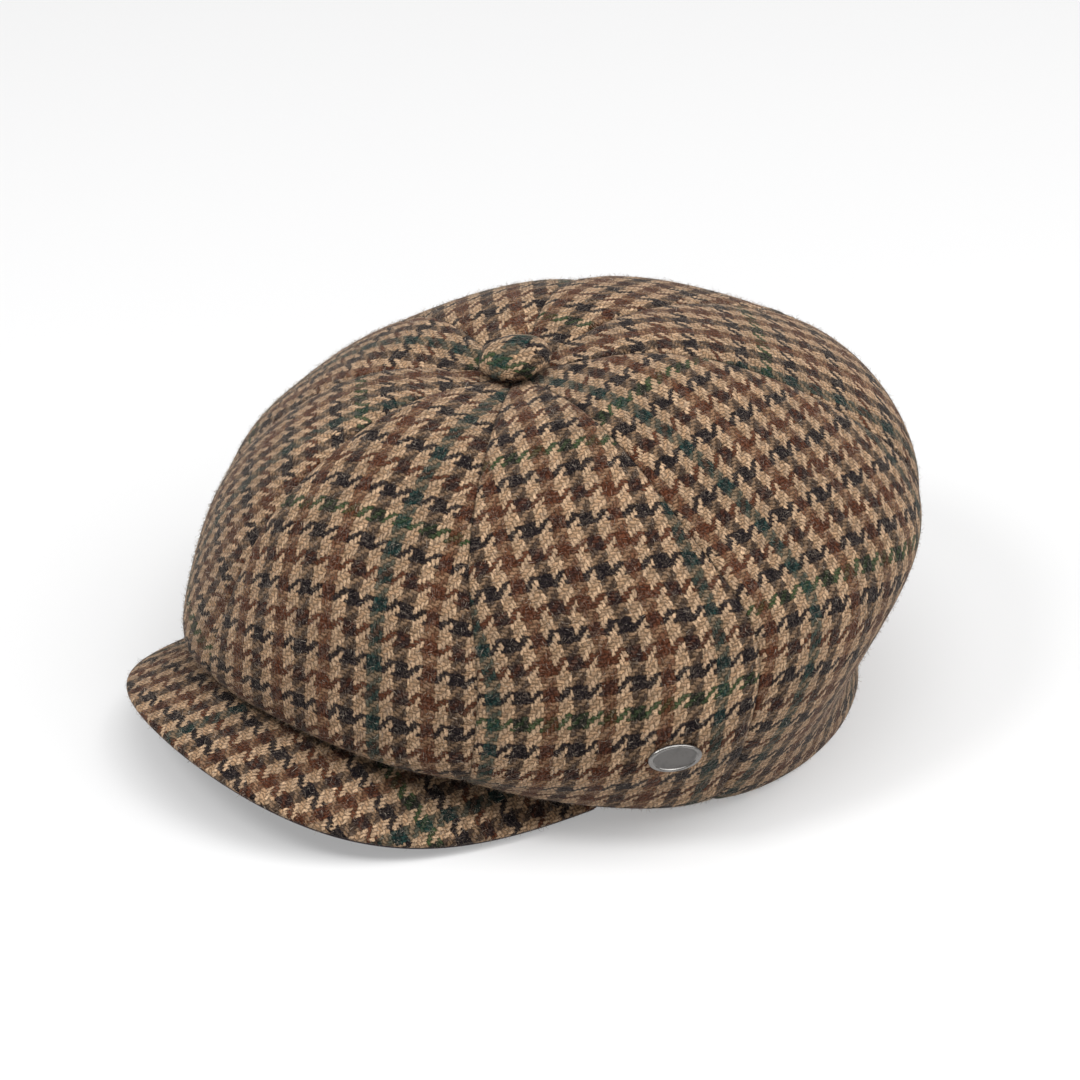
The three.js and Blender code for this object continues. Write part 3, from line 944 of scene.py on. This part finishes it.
def make_button(material):
    """The covered button: a domed lathe whose rim is puckered where the cloth is drawn under.

    r = R sin^0.85 q and z = m + (H - m) cos^0.85 q down to the rim at height m, and from there both
    draw in to a flat foot.
    """
    radius = BUTTON["radius"] + BUTTON["wider"]
    height = BUTTON["height"] + BUTTON["higher"]
    rim_z = height * 0.42
    angle, q = turning_grid(BUTTON_TURNS, np.linspace(0.0, 1.0, BUTTON_STEPS)[1:])
    dome = np.clip(q / DOME_SHARE, 0.0, 1.0) * math.pi / 2.0
    under = np.clip((q - DOME_SHARE) / (1.0 - DOME_SHARE), 0.0, 1.0)
    r = radius * np.sin(dome) ** 0.85 * (1.0 - 0.62 * under ** 1.6)
    z = rim_z + (height - rim_z) * np.cos(dome) ** 0.85 * (q < DOME_SHARE)
    z = z - rim_z * np.sin(under * math.pi / 2.0)
    pleat = ripple(angle * 5.0, 9) * 0.6 + np.sin(angle * 14.0 + 1.5 * ripple(angle, 4)) * 0.4
    edge = np.exp(-((q - 0.70) / 0.13) ** 2)
    r = r * (1.0 + 0.04 * pleat * edge)
    z = z + 0.40 * pleat * edge + 0.35 * ripple(angle, 5) * np.sin(dome) ** 2
    x, y, z = np.moveaxis(turned_shell(r * np.cos(angle), r * np.sin(angle), z, height), -1, 0)
    seat = np.array(BUTTON_SEAT) + (0.0, 0.0, BUTTON["lift"] - BUTTON_DIP)
    shell = np.stack([x, *turned(y, z, BUTTON["tilt_degrees"])], -1) + seat
    arc = q * radius * 1.55
    u, v = (np.append(arc * wave(angle), (0.0, 0.0)) for wave in (np.cos, np.sin))
    # Painted shade under the button's rim, from where the dome ends down to its foot.
    turned_in = np.append(smooth_step((q - DOME_SHARE) / 0.25), (0.0, 1.0))
    uv = laid_on_cloth(u, -v, BUTTON_CUT)
    faces = lathe_faces(*q.shape)
    piece = add_piece("tweed_button", shell, faces, uv, {"turned_in": turned_in}, FIRM_DEGREES)
    finish_piece(piece, ["top_button"], material)


def make_pin(shape, material):
    """The plain pin: an oval plate with a raised round rim and a low field.

    x = a r cos t and y = b r sin t, where r and the height follow the profile's half section.
    """
    profile = np.array(PIN_PROFILE) * (1.0, PIN["thickness"])
    angle, r = turning_grid(PIN_TURNS, profile[1:-1, 0])
    _, z = turning_grid(PIN_TURNS, profile[1:-1, 1])
    x, y = PIN["half_length"] * r * np.cos(angle), PIN["half_height"] * r * np.sin(angle)
    shell = turned_shell(x, y, z, profile[0, 1])
    field = np.append(smooth_step((0.80 - r) / 0.03), (1.0, 0.0))
    angle_at, level_at = math.radians(PIN["angle"]), np.array(PIN["level"])
    normal = crown_normal(angle_at, level_at)
    sideways = unit(np.array([-normal[1], normal[0], 0.0]))
    upright = np.cross(normal, sideways)
    across = 2.0 * (PIN["angle"] - SEAM_ANGLES[1]) / (SEAM_ANGLES[2] - SEAM_ANGLES[1]) - 1.0
    stand = puff(np.array(across), level_at, shape.panel_puff / MM) + PIN["lift"]
    seat = crown_base(angle_at, level_at) + normal * stand
    shell = shell[:, :1] * sideways + shell[:, 1:2] * upright + shell[:, 2:] * normal + seat
    faces = lathe_faces(*r.shape)
    piece = add_piece("plain_oval_pin", shell, faces, None, {"field": field}, FIRM_DEGREES)
    finish_piece(piece, ["pin_badge"], material)


def fibre_points(roots, normals, lengths, widths, rng):
    """Bent tapered fibres: a three-sided foot, a three-sided middle and a tip for each root.

    The middle lies half the length out along a lean, and the tip bends on towards a second lean.
    """
    count = len(roots)
    lean = rng.normal(size=(count, 3))
    lean = unit(lean - normals * (lean * normals).sum(-1, keepdims=True))
    drift = rng.normal(size=(count, 3)) * 0.5
    rise = rng.uniform(0.15, 0.85, (count, 1))
    first = unit(normals * rise + lean * (1.0 - rise * 0.5))
    second = unit(normals * (rise * 0.3 - 0.1) + lean + drift)
    side = unit(np.cross(first, normals + 1e-3))
    other = np.cross(first, side)
    length, width = lengths[:, None], widths[:, None]
    middle = roots + first * length * 0.5
    tip = middle + second * length * 0.5
    rings = []
    for centre, scale in ((roots - normals * 0.15, 1.0), (middle, 0.7)):
        for turn in (0.0, 2.0 * math.pi / 3.0, 4.0 * math.pi / 3.0):
            rings.append(centre + (side * math.cos(turn) + other * math.sin(turn)) * width * scale)
    return np.stack(rings + [tip], 1)


def fibre_faces(count):
    """Triangles of each fibre: its foot, six round its lower half and three to its tip."""
    pattern = np.array([
        (0, 2, 1), (0, 1, 4), (0, 4, 3), (1, 2, 5), (1, 5, 4),
        (2, 0, 3), (2, 3, 5), (3, 4, 6), (4, 5, 6), (5, 3, 6),
    ])
    first = FIBRE_POINTS * np.arange(count)[:, None, None]
    return (pattern[None] + first).reshape(-1, 3).tolist()


def scatter_on_grid(points, count, rng):
    """Seeded places on a grid of points, even by area, with the outward normal at each."""
    a, b, c, d = grid_corners(points)
    cross = np.cross(c - a, d - b).reshape(-1, 3)
    area = np.linalg.norm(cross, axis=-1)
    share = np.cumsum(area) / area.sum()
    cell = np.minimum(np.searchsorted(share, rng.uniform(size=count)), len(area) - 1)
    s, t = rng.uniform(size=(count, 1)), rng.uniform(size=(count, 1))
    flat = [grid.reshape(-1, 3)[cell] for grid in (a, b, c, d)]
    roots = (flat[0] * (1 - s) + flat[1] * s) * (1 - t) + (flat[3] * (1 - s) + flat[2] * s) * t
    return roots, cross[cell] / area[cell, None]


def make_fibres(name, grids, count, material, seed, sign=1.0):
    """Short stray fibres over some grids of points, as one mesh."""
    rng = np.random.default_rng(seed)
    places = [scatter_on_grid(grid, count // len(grids), rng) for grid in grids]
    roots = np.concatenate([roots for roots, _ in places])
    normals = np.concatenate([normals for _, normals in places]) * sign
    lengths = rng.gamma(FIBRE["length_shape"], FIBRE["length_scale"], len(roots)) + FIBRE["shortest"]
    widths = rng.uniform(FIBRE["thinnest"], FIBRE["thickest"], len(roots))
    points = fibre_points(roots, normals, np.minimum(lengths, FIBRE["longest"]), widths, rng)
    points = points[points[:, :, 2].min(axis=1) > FIBRE["clear_of_floor"]]
    tone = np.repeat(rng.uniform(size=len(points)), FIBRE_POINTS)
    piece = add_piece(name, points, fibre_faces(len(points)), None, {"tone": tone}, 0.0)
    finish_piece(piece, [], material)


# ---------------------------------------------------------------- settings

def size_property(name, description, default):
    return bpy.props.FloatProperty(
        name=name, description=description, default=default, unit="LENGTH", precision=5)


def colour_property(name, description, default):
    return bpy.props.FloatVectorProperty(
        name=name, description=description, default=(*default, 1.0), size=4, subtype="COLOR",
        min=0.0, max=1.0)


def angle_property(name, description, degrees):
    return bpy.props.FloatProperty(
        name=name, description=description, default=math.radians(degrees), subtype="ANGLE")


def power_property(name, description, watts):
    return bpy.props.FloatProperty(name=name, description=description, default=watts, unit="POWER")


def share_property(name, description, default, most=1.0):
    return bpy.props.FloatProperty(
        name=name, description=description, default=default, min=0.0, max=most, subtype="FACTOR")


def count_property(name, description, default, least, most):
    return bpy.props.IntProperty(name=name, description=description, default=default, min=least, max=most)


class CapShape(bpy.types.PropertyGroup):
    """Sizes of the sewn cap."""

    cloth_thickness: size_property("Cloth Thickness", "Thickness of the tweed and its backing", 0.0022)
    seam_gap: size_property("Seam Gap", "Space left between two panels at a seam", 0.00004)
    seam_depth: size_property("Seam Depth", "How far the cloth turns in at a seam", 0.00045)
    panel_puff: size_property("Panel Puff", "How far a panel stands out between its seams", 0.0018)


class CapCloth(bpy.types.PropertyGroup):
    """The tweed, its colours and its stray fibres."""

    thread_pitch: size_property("Thread Pitch", "Distance from one thread to the next", 0.0012)
    light: colour_property("Light Yarn", "Camel warp of the check", (0.535, 0.361, 0.226))
    weft_light: colour_property("Weft Light Yarn", "Tan weft of the check", (0.395, 0.246, 0.141))
    rust: colour_property("Rust Yarn", "Red-brown yarn of the check", (0.092, 0.031, 0.015))
    night: colour_property("Night Yarn", "Blue-black yarn of the check", (0.012, 0.009, 0.011))
    warp_green: colour_property("Warp Green", "Bottle green of the overcheck's warp", (0.010, 0.036, 0.032))
    weft_green: colour_property("Weft Green", "Moss green of the overcheck's weft", (0.040, 0.066, 0.026))
    warp_repeat: count_property("Warp Repeat", "Pairs of checks between green warp stripes", 8, 2, 100)
    weft_repeat: count_property("Weft Repeat", "Pairs of checks between green weft stripes", 10, 2, 100)
    underside: colour_property("Underside", "Dark cloth under the peak", (0.045, 0.030, 0.034))
    # Darker colour of the cotton, on its grain and as painted shade in the hollows between its ribs.
    underside_grain_and_shade: colour_property("Underside Deep", "Hollows of the dark cloth", (0.018, 0.012, 0.014))
    underside_worn: colour_property("Underside Worn", "Rubbed parts of the dark cloth", (0.085, 0.062, 0.064))
    fibre_light: colour_property("Light Fibre", "Palest stray fibres", (0.62, 0.54, 0.44))
    fibre_mid: colour_property("Middle Fibre", "Brown stray fibres", (0.34, 0.25, 0.18))
    fibre_dark: colour_property("Dark Fibre", "Darkest stray fibres", (0.09, 0.07, 0.065))
    crown_fibres: count_property("Crown Fibres", "Stray fibres on each half of the crown", 18500, 0, 19000)
    peak_fibres: count_property("Peak Fibres", "Stray fibres on the peak", 6000, 0, 19000)


class CapStage(bpy.types.PropertyGroup):
    """Camera, lights and floor."""

    azimuth: angle_property("Azimuth", "Turn of the camera from the front", 55.4)
    elevation: angle_property("Elevation", "Height of the camera as an angle", 28.2)
    distance: size_property("Distance", "From the camera to the middle of the view", 1.25)
    lens: bpy.props.FloatProperty(
        name="Lens", description="Focal length on a 36 mm sensor", default=116.667, unit="CAMERA")
    aim: bpy.props.FloatVectorProperty(
        name="Aim", description="Middle of the view", default=(0.0003, 0.0118, 0.0523),
        subtype="TRANSLATION")
    sky: share_property("Sky", "Strength of the even light", 0.38)
    key: power_property("Key", "Power of the lamp at the left", 10.0)
    overhead: power_property("Overhead", "Power of the large lamp above", 106.0)
    fill: power_property("Fill", "Power of the lamp at the right", 17.0)
    floor_level: share_property("Floor Level", "How pale the floor is", 0.49)
    floor_glow: share_property("Floor Glow", "Light that comes through the floor", 0.32, 2.0)


# ---------------------------------------------------------------- operators

class CAP_OT_crown(bpy.types.Operator):
    """Builds the eight panels of the crown"""

    bl_idname = "cap.crown"
    bl_label = "Crown Panels"

    def execute(self, context):
        scene = context.scene
        material = cloth_material("Crown Tweed", scene.cap_cloth)
        for panel in range(len(SEAM_ANGLES)):
            make_panel(panel, scene.cap_shape, material)
        return {"FINISHED"}


class CAP_OT_peak(bpy.types.Operator):
    """Builds the peak's tweed cover and its dark underside"""

    bl_idname = "cap.peak"
    bl_label = "Peak"

    def execute(self, context):
        cloth = context.scene.cap_cloth
        make_peak(cloth_material("Peak Tweed", cloth, nap=0.8), underside_material("Dark Cotton", cloth))
        return {"FINISHED"}


class CAP_OT_button(bpy.types.Operator):
    """Builds the covered button at the top"""

    bl_idname = "cap.button"
    bl_label = "Covered Button"

    def execute(self, context):
        make_button(cloth_material("Button Tweed", context.scene.cap_cloth))
        return {"FINISHED"}


class CAP_OT_pin(bpy.types.Operator):
    """Builds the plain oval pin"""

    bl_idname = "cap.pin"
    bl_label = "Plain Pin"

    def execute(self, context):
        make_pin(context.scene.cap_shape, pin_material("Brushed Metal"))
        return {"FINISHED"}


class CAP_OT_fibres(bpy.types.Operator):
    """Scatters stray wool fibres over the tweed"""

    bl_idname = "cap.fibres"
    bl_label = "Stray Fibres"

    def execute(self, context):
        scene = context.scene
        cloth, shape = scene.cap_cloth, scene.cap_shape
        material = fibre_material("Stray Wool", cloth)
        for half in (0, 1):
            panels = range(4 * half, 4 * half + 4)
            grids = [panel_surface(panel, shape, *FIBRE_GRID)[0] for panel in panels]
            name = f"crown_fibres_{half + 1}"
            make_fibres(name, grids, cloth.crown_fibres, material, 5 + half)
        upper = peak_layer(FIBRE_STATIONS, **PEAK_COVER)[0][:, :PEAK_FACE_STEPS + PEAK_RIM_STEPS + 1]
        make_fibres("peak_fibres", [upper], cloth.peak_fibres, material, 9, -1.0)
        return {"FINISHED"}


class CAP_OT_stage(bpy.types.Operator):
    """Sets the floor, the soft lights and the camera"""

    bl_idname = "cap.stage"
    bl_label = "Stage"

    def execute(self, context):
        scene, stage = context.scene, context.scene.cap_stage
        floor = bpy.data.meshes.new("floor")
        half = FLOOR_HALF_SIZE
        corners = [(-half, -half, 0), (half, -half, 0), (half, half, 0), (-half, half, 0)]
        floor.from_pydata(corners, [], [(0, 1, 2, 3)])
        ground = bpy.data.objects.new("floor", floor)
        scene.collection.objects.link(ground)
        floor.materials.append(floor_material("Pale Floor", stage))

        world = bpy.data.worlds.new("Even Light")
        world.use_nodes = True
        background = world.node_tree.nodes["Background"]
        background.inputs["Color"].default_value = WHITE
        background.inputs["Strength"].default_value = stage.sky
        scene.world = world

        for name, setting, azimuth, elevation, distance, size in LAMPS:
            lamp = bpy.data.lights.new(name, "AREA")
            lamp.shape = "DISK"
            lamp.size = size
            lamp.energy = getattr(stage, setting)
            aimed(scene, name, lamp, math.radians(azimuth), math.radians(elevation), distance)

        camera = bpy.data.cameras.new("Camera")
        camera.lens = stage.lens
        camera.sensor_width = 36.0
        camera.clip_start = 0.05
        camera.clip_end = 50.0
        scene.camera = aimed(scene, "Camera", camera, stage.azimuth, stage.elevation, stage.distance)
        scene.view_settings.view_transform = "Standard"
        return {"FINISHED"}


def aimed(scene, name, data, azimuth, elevation, distance):
    """A camera or lamp that looks at the aim from a distance, kept level; azimuth 0 is in front."""
    level = math.cos(elevation)
    back = np.array([math.sin(azimuth) * level, -math.cos(azimuth) * level, math.sin(elevation)])
    right = unit(np.cross((0.0, 0.0, 1.0), back))
    place = np.array(scene.cap_stage.aim) + back * distance
    holder = bpy.data.objects.new(name, data)
    sides = np.stack([right, np.cross(back, right), back, place], -1)
    holder.matrix_world = mathutils.Matrix([*sides.tolist(), (0.0, 0.0, 0.0, 1.0)])
    scene.collection.objects.link(holder)
    return holder


class CAP_PT_sidebar(bpy.types.Panel):
    """Lists the cap's settings and steps"""

    bl_idname = "CAP_PT_sidebar"
    bl_label = "Baker Boy Cap"
    bl_space_type = "VIEW_3D"
    bl_region_type = "UI"
    bl_category = "Cap"

    def draw(self, context):
        for group in (context.scene.cap_shape, context.scene.cap_cloth, context.scene.cap_stage):
            box = self.layout.box()
            for key in group.__annotations__:
                box.prop(group, key)
        for operator in OPERATORS:
            self.layout.operator(operator.bl_idname)


OPERATORS = (CAP_OT_crown, CAP_OT_peak, CAP_OT_button, CAP_OT_pin, CAP_OT_fibres, CAP_OT_stage)
CLASSES = (CapShape, CapCloth, CapStage, *OPERATORS, CAP_PT_sidebar)


def register():
    for cls in CLASSES:
        bpy.utils.register_class(cls)
    bpy.types.Scene.cap_shape = bpy.props.PointerProperty(type=CapShape)
    bpy.types.Scene.cap_cloth = bpy.props.PointerProperty(type=CapCloth)
    bpy.types.Scene.cap_stage = bpy.props.PointerProperty(type=CapStage)


def unregister():
    del bpy.types.Scene.cap_stage
    del bpy.types.Scene.cap_cloth
    del bpy.types.Scene.cap_shape
    for cls in reversed(CLASSES):
        bpy.utils.unregister_class(cls)


def main():
    register()
    bpy.ops.cap.crown()
    bpy.ops.cap.peak()
    bpy.ops.cap.button()
    bpy.ops.cap.pin()
    bpy.ops.cap.fibres()
    bpy.ops.cap.stage()


if __name__ == "__main__":
    main()
